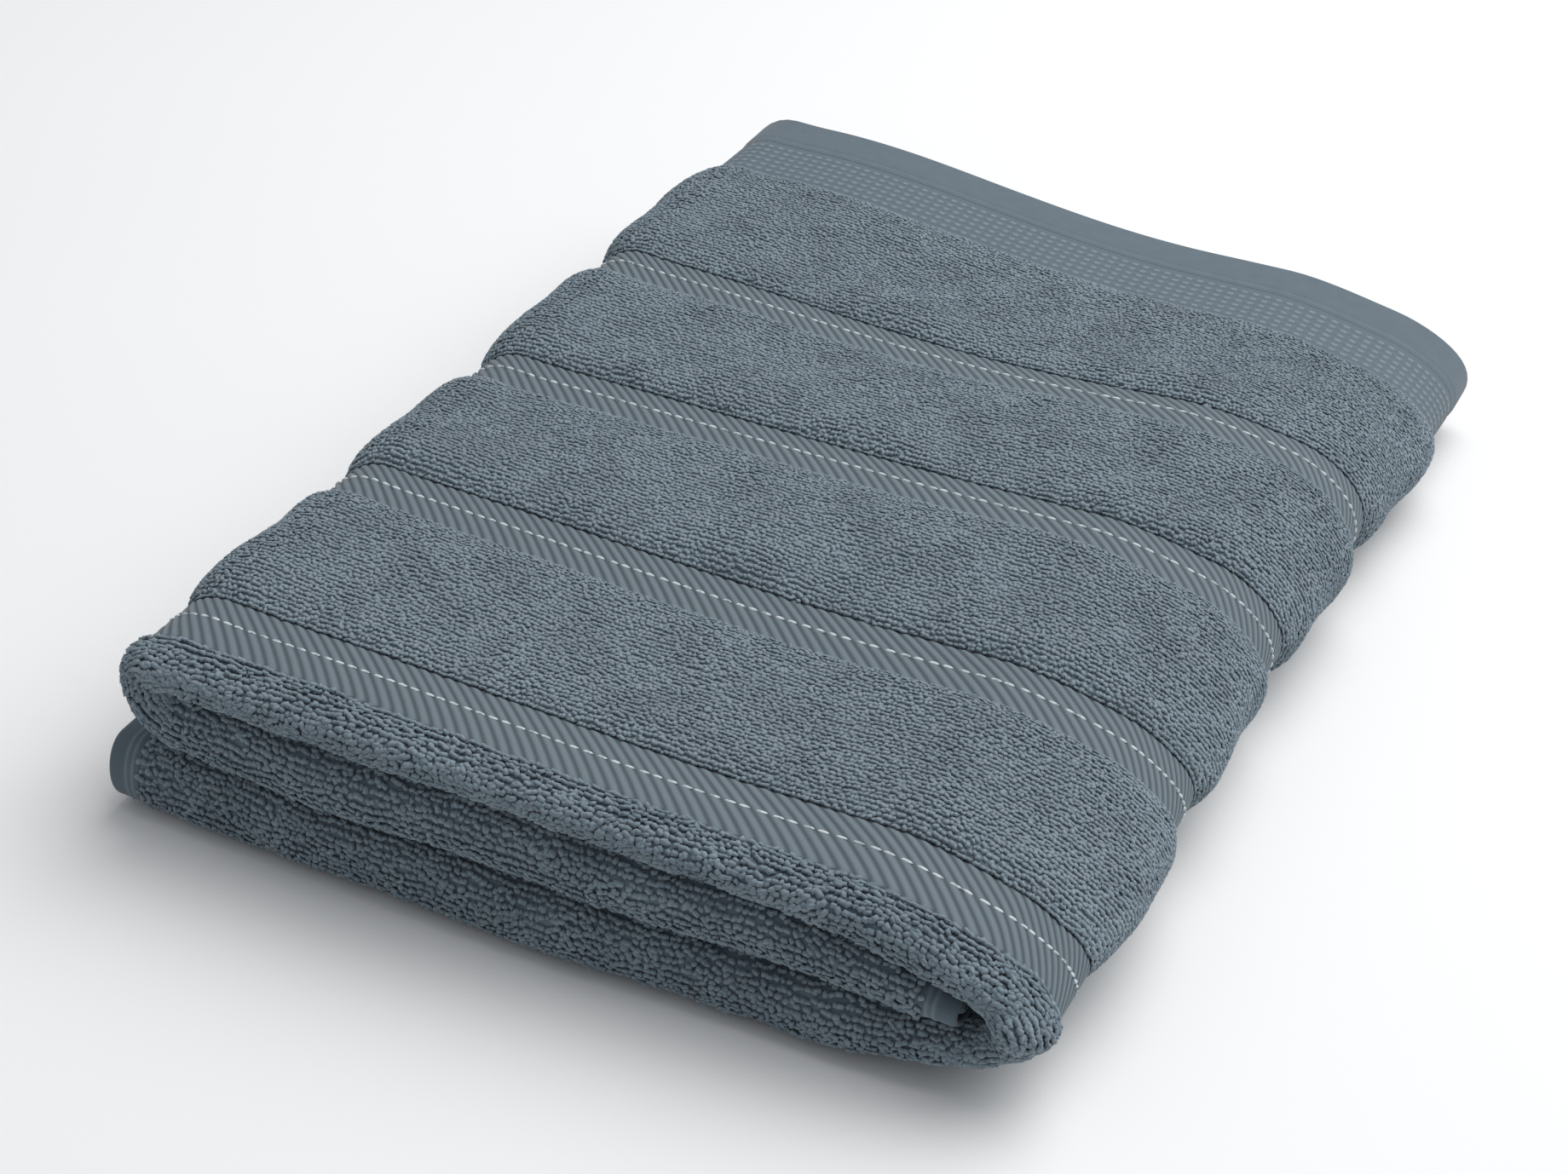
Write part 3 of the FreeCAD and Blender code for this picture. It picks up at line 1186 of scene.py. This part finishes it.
@dataclass
class Terry:
    """The towel's ground cloth and the pile that stands on it."""

    cloth: Cloth
    fitter: Fitter
    material: bpy.types.Material
    ground: float = 0.95 * MM
    zone_floor: float = -0.2 * MM
    wall: float = 0.8 * MM
    row_pitch: float = 1.45 * MM
    spacing: float = 1.12 * MM
    loop_height: float = 0.75 * MM
    roll_pitch: float = 1.75 * MM
    roll_spacing: float = 1.4 * MM
    roll_height: float = 1.45 * MM
    overhang: float = 0.8 * MM
    lap: float = 2.0 * MM
    low_pitch: float = 2.4 * MM
    low_spacing: float = 1.8 * MM
    low_height: float = 1.0 * MM
    fine_edge: float = 8.0 * MM
    roll_lap: float = 3.0 * MM
    rim: float = 16.0 * MM
    loop_sink: float = 0.25 * MM
    ground_step: float = 5.4 * MM
    ground_steps_mm: tuple[float, ...] = (2.6, 1.3, 6.0, 0.8, 12.0, 0.8, 12.0)
    loops: Loops = field(default_factory=Loops)

    def side_grid(self) -> tuple[Array, Array]:
        """Values of q along the cloth with the decorated face's height at each.

        Returns:
            q and height of each point, with q rising.
        """
        marks = self.cloth.pack.q_marks
        values = stretches((0.0, *marks), self.ground_steps_mm)
        for start, end in self.cloth.zones:
            values.append(np.array([start - self.wall, start, end, end + self.wall]))
        q = np.unique(np.round(np.concatenate(values), 7))
        q = q[(q >= 0.0) & (q <= marks[6])]
        height = np.where(q < marks[3], self.ground, self.cloth.pack.cloth / 2.0)
        for start, end in self.cloth.zones:
            inside = (q > start - 1e-6) & (q < end + 1e-6)
            height = np.where(inside, self.zone_floor, height)
        inner = marks[6] - self.cloth.zones[-1][1] - 1e-6
        height = np.where(q > inner, self.zone_floor, height)
        return q, height

    def ground_piece(self, segment: Segment) -> bpy.types.Object:
        """Ground cloth of one segment: the strip through all four layers, carried along e.

        Args:
            segment: which stretch of the width.

        Returns:
            The piece.
        """
        pack = self.cloth.pack
        q, height = self.side_grid()
        loop_q = np.concatenate([q, q[::-1]])
        base = np.full(len(q), -pack.cloth / 2.0)
        loop_h = np.concatenate([height, base])
        e = steps_between(*pack.inner_span(segment), self.ground_step)
        # Painted shade: the decorated face of the ground cloth under the front roll is made darker.
        rolled = (loop_q > self.cloth.zones[-1][1]) & (loop_q < pack.q_marks[1] + self.roll_lap)
        tone = np.where((loop_h > 0.0) & rolled, 0.1, 0.5)
        data = swept_loop(
            self.cloth, e[:, None], loop_q[None, :], loop_h[None, :], tone[None, :], ladder=True
        )
        name = f"terry_{segment.value}"
        piece = data.to_object(f"{name}_cloth", sharp=55.0)
        return self.fitter.fit(piece, segment, self.material, "terry", [name])

    def patches(self, segment: Segment) -> dict[str, list[Patch]]:
        """Pile of one segment, by the field that it stands on.

        Args:
            segment: which stretch of the width.

        Returns:
            The patches of each field, by its name.
        """
        pack = self.cloth.pack
        lower, turn, _, left_turn, end = pack.e_marks
        hem = pack.side_hem
        marks = pack.q_marks
        full = (LoopStyle.FULL, self.row_pitch, self.spacing, self.loop_height, 0.9)
        low = (LoopStyle.LOW, self.low_pitch, self.low_spacing, self.low_height, 0.5)
        roll = (LoopStyle.FULL, self.roll_pitch, self.roll_spacing, self.roll_height, 0.5, 0.45)
        fine = lower - self.fine_edge
        spans = {
            Segment.LOWER: [(hem, fine, low), (fine, lower, full)],
            Segment.RIGHT_TURN: [(lower, turn, full)],
            Segment.UPPER: [(turn, left_turn, full), (left_turn, end - hem, low)],
        }[segment]
        found: dict[str, list[Patch]] = {}
        names = [f"field_{number}" for number in BANDS]
        for name, (q_start, q_end) in zip(names, self.cloth.fields[:-1]):
            lap = 0.0 if name == names[0] else self.lap
            found[name] = [
                Patch(a, b, q_start - lap, q_end + self.overhang, *kind) for a, b, kind in spans
            ]
        start, stop = pack.inner_span(segment)
        roll_end, back_start, back_end = marks[1] + self.roll_lap, marks[2] - self.fine_edge, marks[3]
        found["front"] = [Patch(start, stop, self.cloth.fields[-1][0], roll_end, *roll)]
        if segment is Segment.RIGHT_TURN:
            found["inside"] = [Patch(start, stop, roll_end, back_end, *low)]
            return found
        inside = [(start, stop)]
        if segment is Segment.UPPER:
            inside = [(start, start + self.rim), (stop - self.rim, stop)]
        found["inside"] = [Patch(a, b, roll_end, back_start, *low) for a, b in inside]
        found["back"] = [Patch(start, stop, back_start, back_end, *low)]
        return found

    def build(self, segment: Segment, hems: list[bpy.types.Object]) -> None:
        """Ground cloth and pile of one segment.

        Args:
            segment: which stretch of the width.
            hems: side hems of the same segment, gathered with the pile and not used further.
        """
        cloth_piece = self.ground_piece(segment)
        piles = list(hems)
        for number, (name, patches) in enumerate(self.patches(segment).items()):
            foot = self.ground - self.loop_sink
            sets = [
                self.loops.strew(self.cloth, patch, foot, 100 + 10 * number + k)
                for k, patch in enumerate(patches)
            ]
            pile = joined(sets).to_object(f"terry_{segment.value}_pile_{name}")
            self.fitter.fit(pile, segment, self.material, "terry", [])
            LOG.info("pile %s %s: %d faces", segment.value, name, len(pile.data.polygons))
            piles.append(pile)
        pack = self.cloth.pack
        width = pack.cut_width(*pack.span(segment))
        pack.q_marks[6]


# ------------------------------------------------------------------ woven strips


@dataclass
class HerringboneBand:
    """A flat-woven band of slanting ribs, set down between two fields of terry."""

    cloth: Cloth
    fitter: Fitter
    material: bpy.types.Material
    thread_material: bpy.types.Material
    rib_pitch: float = 3.55 * MM
    rib_height: float = 0.48 * MM
    face: float = 0.6 * MM
    base: float = -0.5 * MM
    edge_dip: float = 0.8 * MM
    back_slope: float = 1.3
    slope_loss: float = 0.25
    turn_back: float = 0.94
    end_lap: float = 1.1
    dash_pitch: float = 3.55 * MM
    dash_length: float = 2.6 * MM
    dash_width: float = 1.05 * MM
    dash_rise: float = 0.5 * MM
    dash_rings: int = 7
    dash_sides: int = 6

    def slant(self, v: Array, width: float) -> Array:
        """How far a rib has run along the band at a share v of the way to the front edge.

        The run is width x (slope x v - loss x v^2), and folds back past turn_back.

        Args:
            v: share of the way across the band, from its back edge.
            width: the band's width.

        Returns:
            The run along the band.
        """
        run = self.back_slope * v - self.slope_loss * v * v
        past = np.clip(v - self.turn_back, 0.0, None)
        return width * (run - 2.0 * past)

    def weave(
        self, name: str, segment: Segment, q_back: float, q_front: float, samples: int,
    ) -> bpy.types.Object:
        """One segment of a band, as a grid that leans with its ribs.

        Rib height over the band's face is rib_height x |sin(pi x phase)|^0.7, where phase is
        distance along the band, less the slant, over the pitch.

        Args:
            name: the node that it stands for.
            segment: which stretch of the width.
            q_back: q of the edge nearer to the towel's end.
            q_front: q of the other edge.
            samples: grid steps for each rib.

        Returns:
            The piece.
        """
        start, end = self.cloth.pack.span(segment)
        width = abs(q_front - q_back)
        if segment is Segment.UPPER:
            end += self.end_lap * width
        e = steps_between(start, end, self.rib_pitch / samples)
        v = np.concatenate([[0.0, 0.03, 0.07], np.linspace(0.12, 0.88, 12), [0.94, 0.98, 1.0]])
        lean = -self.slant(v, width)
        grid_e = e[:, None] + lean[None, :]
        grid_e = np.clip(grid_e, 0.0, self.cloth.pack.e_marks[4])
        phase = (grid_e - lean[None, :]) / self.rib_pitch
        wave = np.abs(np.sin(math.pi * phase)) ** 0.7
        edge = smooth((0.06 - v) / 0.06) + 0.6 * smooth((v - 0.95) / 0.05)
        height = self.face + self.rib_height * wave - self.edge_dip * edge[None, :]
        q = q_back + (q_front - q_back) * v
        # Painted shade: the tone is dark in the grooves between ribs and pale on their crests, and a
        # painted shadow darkens the strip along its back edge.
        shadow = smooth((0.07 - v) / 0.07)[None, :]
        crest = np.sin(math.pi * phase) ** 2
        tone = np.clip((-0.1 + 1.1 * crest) * (1.0 - shadow) - 0.9 * shadow, -0.9, 1.0)
        low_v = np.array([1.0, 0.0])
        e_all = np.concatenate([grid_e, grid_e[:, [-1, 0]]], axis=1)
        q_all = np.concatenate([q, q_back + (q_front - q_back) * low_v])
        h_all = np.concatenate([height, np.full((len(e), 2), self.base)], axis=1)
        t_all = np.concatenate([tone, np.full((len(e), 2), 0.3)], axis=1)
        if q_front < q_back:
            e_all, h_all, t_all = e_all[:, ::-1], h_all[:, ::-1], t_all[:, ::-1]
            q_all = q_all[::-1]
        data = swept_loop(self.cloth, e_all, q_all[None, :], h_all, t_all)
        piece = data.to_object(f"{name}_weave", sharp=65.0)
        return self.fitter.fit(piece, segment, self.material, "herringbone_weave", [name])

    def dashes(self, name: str, segment: Segment, q_line: float) -> bpy.types.Object:
        """Floats of accent thread: a row of flattened ovals along e.

        A float's girth at t, from -1 to 1 along it, is (1 - t^2)^0.45, and its middle lies
        among the ribs' crests.

        Args:
            name: the node that it stands for.
            segment: which stretch of the width.
            q_line: q of the row.

        Returns:
            The piece.
        """
        start, end = self.cloth.pack.span(segment)
        count = int(round((end - start) / self.dash_pitch))
        pitch = (end - start) / count
        centre = start + pitch * (np.arange(count) + 0.5)
        draw = np.random.default_rng(77)
        centre = centre + draw.normal(0.0, 0.06, count) * pitch
        along = np.linspace(-1.0, 1.0, self.dash_rings)
        girth = np.clip(1.0 - along ** 2, 0.02, 1.0) ** 0.45
        around = np.arange(self.dash_sides) * 2.0 * math.pi / self.dash_sides
        de = along * self.dash_length / 2.0
        e = centre[:, None, None] + de[None, :, None] + np.zeros((1, 1, self.dash_sides))
        q = q_line + self.dash_width / 2.0 * girth[:, None] * np.cos(around)[None, :]
        crest = self.face + self.rib_height * 0.85
        h = crest + self.dash_rise * girth[:, None] * np.sin(around)[None, :]
        e = np.clip(e, start, end)
        points = self.cloth.place(e, q[None], h[None]).reshape(-1, 3)
        index = np.arange(self.dash_rings * self.dash_sides).reshape(self.dash_rings, -1)
        quads = ring_quads(index)
        flat = np.concatenate([quads.ravel(), index[0], index[-1][::-1]])
        sizes = np.concatenate([np.full(len(quads), 4), [self.dash_sides] * 2])
        corners = (flat[None, :] + (np.arange(count) * index.size)[:, None]).ravel()
        data = MeshData(points, corners, np.tile(sizes, count), np.ones(len(points)))
        piece = data.to_object(f"{name}_floats")
        return self.fitter.fit(piece, segment, self.thread_material, "accent_thread", [name])

    def build_outer(self, number: int, segment: Segment) -> None:
        """One of the outer end's bands, with its row of accent thread.

        Args:
            number: the band's number from the towel's end.
            segment: which stretch of the width.
        """
        pack = self.cloth.pack
        name = f"outer_band_{number}_{segment.value}"
        thread = f"outer_band_{number}_thread_{segment.value}"
        q_back, q_front = self.cloth.zones[number]
        samples = 5 if segment is Segment.LOWER else 7
        weave = self.weave(name, segment, q_back, q_front, samples)
        low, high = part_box(f"outer_band_{number}_thread_lower")
        row = self.dashes(thread, segment, pack.outer_end - (low.y + high.y) / 2.0)
        width = pack.cut_width(*pack.span(segment))

    def build_inner(self, number: int, segment: Segment) -> None:
        """One of the inner end's bands, which lies between two layers.

        Args:
            number: the band's number from the towel's end.
            segment: which stretch of the width.
        """
        pack = self.cloth.pack
        name = f"inner_band_{number}_{segment.value}"
        low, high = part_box(f"inner_band_{number}_lower")
        end = pack.q_marks[6]
        q_back = end - (pack.inner_end - high.y)
        q_front = end - (pack.inner_end - low.y)
        weave = self.weave(name, segment, q_back, q_front, 2)
        width = pack.cut_width(*pack.span(segment))
        q_back - q_front


@dataclass
class FlatStrip:
    """A border or a header hem: a strip whose face is a profile along q."""

    cloth: Cloth
    fitter: Fitter
    material: bpy.types.Material

    def build(
        self, name: str, segment: Segment, q: Array, height: Array, base: float, tone: Array,
        slot: str, step: float,
    ) -> None:
        """One segment of a strip.

        Args:
            name: the node that it stands for.
            segment: which stretch of the width.
            q: q of the profile's points, rising.
            height: height of each.
            base: height of its underside.
            tone: tone of each point.
            slot: passed to the fitter, which doesn't use it.
            step: grid step along e.
        """
        start, end = self.cloth.pack.inner_span(segment)
        e = steps_between(start, end, step)
        loop_q = np.concatenate([q, [q[-1], q[0]]])
        loop_h = np.concatenate([height, [base, base]])
        loop_t = np.concatenate([tone, [0.3, 0.3]])
        data = swept_loop(
            self.cloth, e[:, None], loop_q[None, :], loop_h[None, :], loop_t[None, :]
        )
        piece = data.to_object(f"{name}_strip", sharp=60.0)
        self.fitter.fit(piece, segment, self.material, slot, [name])
        width = self.cloth.pack.cut_width(start, end)
        float(q[-1] - q[0])


@dataclass
class Borders:
    """The border of raised rows beside each header hem."""

    strip: FlatStrip
    rows: int = 6
    face: float = 0.85 * MM
    ridge: float = 0.3 * MM
    base: float = 0.0

    def profile(self, start: float, end: float) -> tuple[Array, Array, Array]:
        """Ridges across the border: sin^2 over each row's share, with plain edges.

        Args:
            start: first q.
            end: last q.

        Returns:
            q, height and tone of the profile's points.
        """
        q = steps_between(start, end, 0.5 * MM)
        t = (q - start) / (end - start)
        inside = np.clip((t - 0.08) / 0.84, 0.0, 1.0)
        wave = np.sin(math.pi * self.rows * inside) ** 2
        return q, self.face + self.ridge * wave, 0.1 + 0.9 * wave

    def build(self, segment: Segment) -> None:
        """Both borders of one segment.

        Args:
            segment: which stretch of the width.
        """
        pack = self.strip.cloth.pack
        low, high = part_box("inner_border_lower")
        last = pack.q_marks[6]
        inner = last - (pack.inner_end - low.y), last - (pack.inner_end - high.y)
        outer = self.strip.cloth.zones[0]
        for end, zone, step in (("outer", outer, 2.4 * MM), ("inner", inner, 6.0 * MM)):
            q, height, tone = self.profile(*zone)
            self.strip.build(
                f"{end}_border_{segment.value}", segment, q, height, self.base, tone,
                "border_weave", step,
            )


@dataclass
class HeaderHems:
    """The plain hem across each end of the towel."""

    strip: FlatStrip
    half: float = 1.45 * MM
    stitch_inset: float = 2.2 * MM
    stitch_width: float = 0.5 * MM
    stitch_depth: float = 0.1 * MM
    inner_drop: float = 0.5 * MM
    inner_slope: float = 4.0 * MM

    def profile(self, start: float, end: float, edge: float) -> tuple[Array, Array, Array]:
        """A flat hem, rounded at the towel's edge, with a row of stitching drawn in.

        Args:
            start: first q.
            end: last q.
            edge: the one of the two that is the towel's edge.

        Returns:
            q, height and tone of the profile's points.
        """
        q = steps_between(start, end, 0.45 * MM)
        from_edge = np.abs(q - edge)
        inner = abs(end - start) - from_edge
        rounding = np.clip(1.0 - from_edge / self.half, 0.0, 1.0)
        stitch = np.exp(-((inner - self.stitch_inset) / self.stitch_width) ** 2)
        height = self.half * np.sqrt(1.0 - rounding ** 2 * 0.98) - self.stitch_depth * stitch
        height = height - self.inner_drop * smooth(1.0 - inner / self.inner_slope)
        return q, height, 0.55 + 0.2 * stitch

    def build(self, segment: Segment) -> None:
        """Both header hems of one segment.

        Args:
            segment: which stretch of the width.
        """
        last = self.strip.cloth.pack.q_marks[6]
        for end in ("outer", "inner"):
            low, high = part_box(f"{end}_header_hem_lower")
            outer = end == "outer"
            start, stop = (low.y - high.y, 0.0) if outer else (last, last + high.y - low.y)
            q, height, tone = self.profile(start, stop, start if outer else stop)
            self.strip.build(
                f"{end}_header_hem_{segment.value}", segment, q, height, -self.half, tone,
                "hem", 3.5 * MM,
            )


@dataclass
class SideHems:
    """The hem along each long edge of the towel, with raised rows of stitching."""

    cloth: Cloth
    fitter: Fitter
    material: bpy.types.Material
    half: float = 1.2 * MM
    ridge: float = 0.22 * MM
    seams: tuple[float, float] = (0.6, 0.8)
    seam_width: float = 0.05
    steps_mm: tuple[float, ...] = (4.0, 1.2, 4.0, 0.6, 4.0, 0.6, 4.0)

    def build(self, node: str, segment: Segment) -> bpy.types.Object:
        """One side hem, through all four layers and on to both ends.

        Args:
            node: the node that it stands for.
            segment: the third that it edges.

        Returns:
            The piece.
        """
        pack = self.cloth.pack
        low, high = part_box(node)
        width = high.x - low.x
        last = pack.e_marks[4]
        start, end = (0.0, width) if segment is Segment.LOWER else (last - width, last)
        header_low, header_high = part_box("outer_header_hem_lower")
        header = header_high.y - header_low.y
        marks = pack.q_marks
        values = stretches((-header, *marks[:-1], marks[6] + header), self.steps_mm)
        q = np.unique(np.round(np.concatenate(values), 7))
        e = steps_between(start, end, 0.45 * MM)
        from_edge = e - start if segment is Segment.LOWER else end - e
        seam = sum(
            np.exp(-((from_edge / width - place) / self.seam_width) ** 2) for place in self.seams
        )
        rounding = np.clip(1.0 - from_edge / self.half, 0.0, 1.0)
        face = self.half * np.sqrt(1.0 - rounding ** 2 * 0.97) + self.ridge * seam
        loop_q = np.concatenate([q, q[::-1]])
        sign = np.concatenate([np.ones(len(q)), -np.ones(len(q))])
        height = face[:, None] * sign[None, :]
        tone = np.broadcast_to((0.45 + 0.6 * seam)[:, None], height.shape)
        data = swept_loop(self.cloth, e[:, None], loop_q[None, :], height, tone, ladder=True)
        piece = data.to_object(f"{node}_strip", sharp=60.0)
        return self.fitter.fit(piece, segment, self.material, "hem", [node])


# ------------------------------------------------------------------ the studio


@dataclass(frozen=True)
class Studio:
    """Camera, soft lights and the floor."""

    lens: float = 69.5
    yaw: float = 23.96
    pitch: float = 33.13
    roll: float = 2.24
    position: tuple[float, float, float] = (0.2678, -0.651, 0.4604)
    floor_reach: float = 6.0
    floor_gap: float = 0.4 * MM

    def camera(self) -> None:
        """Place the camera, looking down at the pack from the front."""
        data = bpy.data.cameras.new("camera")
        data.lens = self.lens
        data.sensor_width = 36.0
        camera = bpy.data.objects.new("camera", data)
        bpy.context.scene.collection.objects.link(camera)
        camera.location = self.position
        camera.rotation_mode = "XYZ"
        camera.rotation_euler = (
            math.radians(90.0 - self.pitch), 0.0, math.radians(self.yaw)
        )
        camera.rotation_euler.rotate_axis("Z", math.radians(self.roll))
        bpy.context.scene.camera = camera

    def light(
        self, name: str, place: tuple[float, float, float], size: float, power: float,
    ) -> None:
        """One square soft light aimed at the pack.

        Args:
            name: the light's name.
            place: where it stands.
            size: length of its side.
            power: its power in watts.
        """
        data = bpy.data.lights.new(name, "AREA")
        data.size = size
        data.energy = power
        item = bpy.data.objects.new(name, data)
        bpy.context.scene.collection.objects.link(item)
        item.location = place
        aim = -np.array(place)
        yaw = math.atan2(aim[0], -aim[1])
        tilt = math.atan2(math.hypot(aim[0], aim[1]), -aim[2])
        item.rotation_euler = (tilt, 0.0, yaw + math.pi)

    def floor(self) -> None:
        """A wide pale floor."""
        mesh = bpy.data.meshes.new("floor")
        reach = self.floor_reach
        corners = [(-reach, -reach, 0), (reach, -reach, 0), (reach, reach, 0), (-reach, reach, 0)]
        mesh.from_pydata(corners, [], [(0, 1, 2, 3)])
        item = bpy.data.objects.new("floor", mesh)
        bpy.context.scene.collection.objects.link(item)
        tree = Tree("pale_floor")
        tint = tree.mix(tree.noise(2.0), (0.80, 0.80, 0.80, 1.0), (0.84, 0.84, 0.84, 1.0))
        tree.finish(tint, None, 0.0, Roughness=0.9)
        mesh.materials.append(tree.material)
        item.location.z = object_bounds()[0].z - self.floor_gap
        item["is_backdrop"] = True

    def build(self) -> None:
        """Set up everything that isn't the towel."""
        self.camera()
        self.light("key", (0.5, 0.5, 1.3), 1.7, 28.0)
        self.light("fill", (-0.8, -0.9, 1.0), 1.2, 0.8)
        world = bpy.data.worlds.new("studio")
        world.use_nodes = True
        shade = world.node_tree.nodes["Background"]
        shade.inputs[0].default_value = (0.93, 0.96, 1.0, 1.0)
        shade.inputs[1].default_value = 0.4
        bpy.context.scene.world = world
        bpy.context.scene.view_settings.view_transform = "Standard"
        self.floor()


def main() -> None:
    """Build the towel's pieces in order, then the studio."""
    logging.basicConfig(level=logging.INFO, format="%(message)s")
    cloth = Cloth.from_frame()
    fitter = Fitter(cloth.pack)
    terry = Terry(cloth, fitter, TerryFinish().material())
    band = HerringboneBand(
        cloth, fitter, HerringboneFinish().material(), ThreadFinish().material()
    )
    borders = Borders(FlatStrip(cloth, fitter, BorderFinish().material()))
    hem_material = HemFinish().material()
    headers = HeaderHems(FlatStrip(cloth, fitter, hem_material))
    side_hems = SideHems(cloth, fitter, hem_material)
    hems = {
        Segment.LOWER: [side_hems.build("side_hem_lower", Segment.LOWER)],
        Segment.RIGHT_TURN: [],
        Segment.UPPER: [side_hems.build("side_hem_tucked", Segment.UPPER)],
    }
    for segment in Segment:
        terry.build(segment, hems[segment])
        for number in BANDS:
            band.build_outer(number, segment)
            band.build_inner(number, segment)
        borders.build(segment)
        headers.build(segment)
        LOG.info("segment %s done", segment.value)
    Studio().build()


if __name__ == "__main__":
    main()
